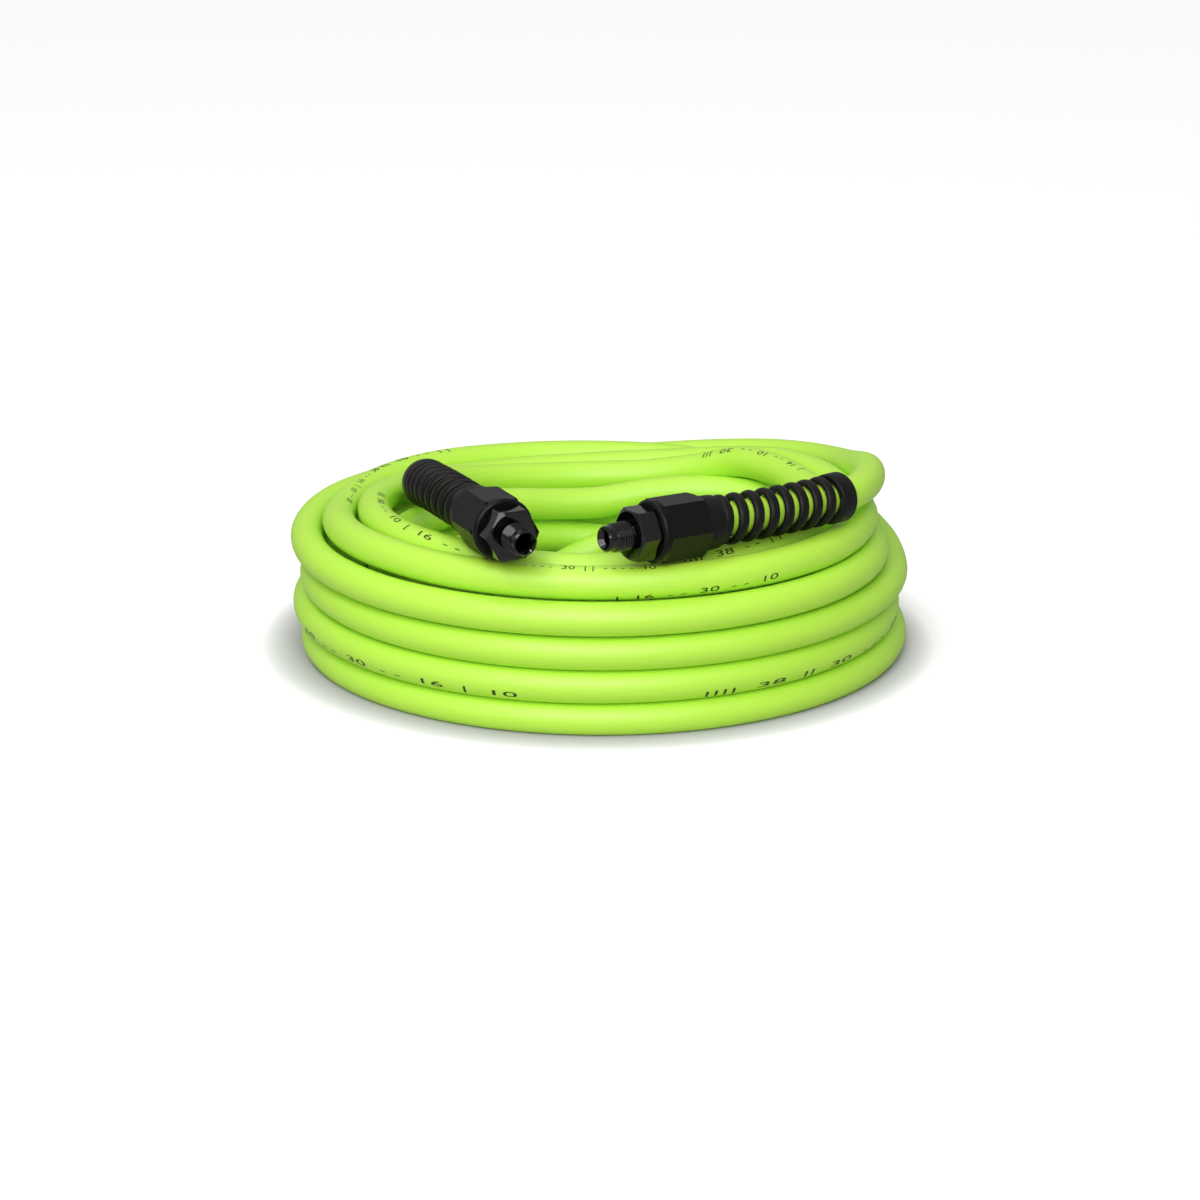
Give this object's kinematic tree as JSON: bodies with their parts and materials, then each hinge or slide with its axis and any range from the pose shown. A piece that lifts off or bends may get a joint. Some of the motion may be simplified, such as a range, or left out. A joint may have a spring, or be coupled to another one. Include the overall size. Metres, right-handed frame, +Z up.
{
  "type": "coiled air hose",
  "caption": "Air hose wound into a free-standing coil, with a reusable male pipe fitting and a springy bend restrictor on each end.",
  "frame": {"origin": "on the floor, under the middle of the coil's bounding box", "axes": "+Z up along the coil's axis, -Y towards the side that both fittings point to, +X to the right seen from there"},
  "size_m": [0.3036, 0.3138, 0.1087],
  "materials": {
    "hose_cover": "satin flexible polymer, bright lime green",
    "braid": "woven polyester, off-white",
    "inner_tube": "smooth, dull green",
    "grip_ring": "plain turned",
    "sleeve": "satin black anodised",
    "nipple": "glossy black anodised",
    "bend_restrictor": "satin black flexible polymer"
  },
  "bodies": {
    "hose": {"hose_coil": "hose_cover", "hose_lead_a": "hose_cover", "hose_lead_b": "hose_cover", "hose_cover_end_a": "hose_cover", "hose_braid_end_a": "braid", "hose_tube_end_a": "inner_tube", "grip_ring_a": "grip_ring", "bend_restrictor_a": "bend_restrictor", "hose_cover_end_b": "hose_cover", "hose_braid_end_b": "braid", "hose_tube_end_b": "inner_tube", "grip_ring_b": "grip_ring", "bend_restrictor_b": "bend_restrictor"},
    "sleeve_a_body": {"sleeve_a": "sleeve"},
    "nipple_a_body": {"nipple_a": "nipple"},
    "sleeve_b_body": {"sleeve_b": "sleeve"},
    "nipple_b_body": {"nipple_b": "nipple"}
  },
  "joints": [
    {"name": "sleeve_a_turn", "type": "hinge", "parent": "hose", "child": "sleeve_a_body", "pos_m": [-0.04897, -0.12078, 0.09384], "axis": [-0.4147, 0.9099, -0.007], "range_deg": [0, 2160]},
    {"name": "nipple_a_travel", "type": "slide", "parent": "hose", "child": "nipple_a_body", "axis": [0.4147, -0.9099, 0.007], "range_m": [0, 0.009]},
    {"name": "sleeve_b_turn", "type": "hinge", "parent": "hose", "child": "sleeve_b_body", "pos_m": [0.03278, -0.12621, 0.09308], "axis": [0.8385, 0.5445, -0.0192], "range_deg": [0, 2160]},
    {"name": "nipple_b_travel", "type": "slide", "parent": "hose", "child": "nipple_b_body", "axis": [-0.8385, -0.5445, 0.0192], "range_m": [0, 0.009]}
  ],
  "couplings": [
    {"joint": "nipple_a_travel", "follows": "sleeve_a_turn", "m_per_rad": 0.00023873},
    {"joint": "nipple_b_travel", "follows": "sleeve_b_turn", "m_per_rad": 0.00023873}
  ]
}
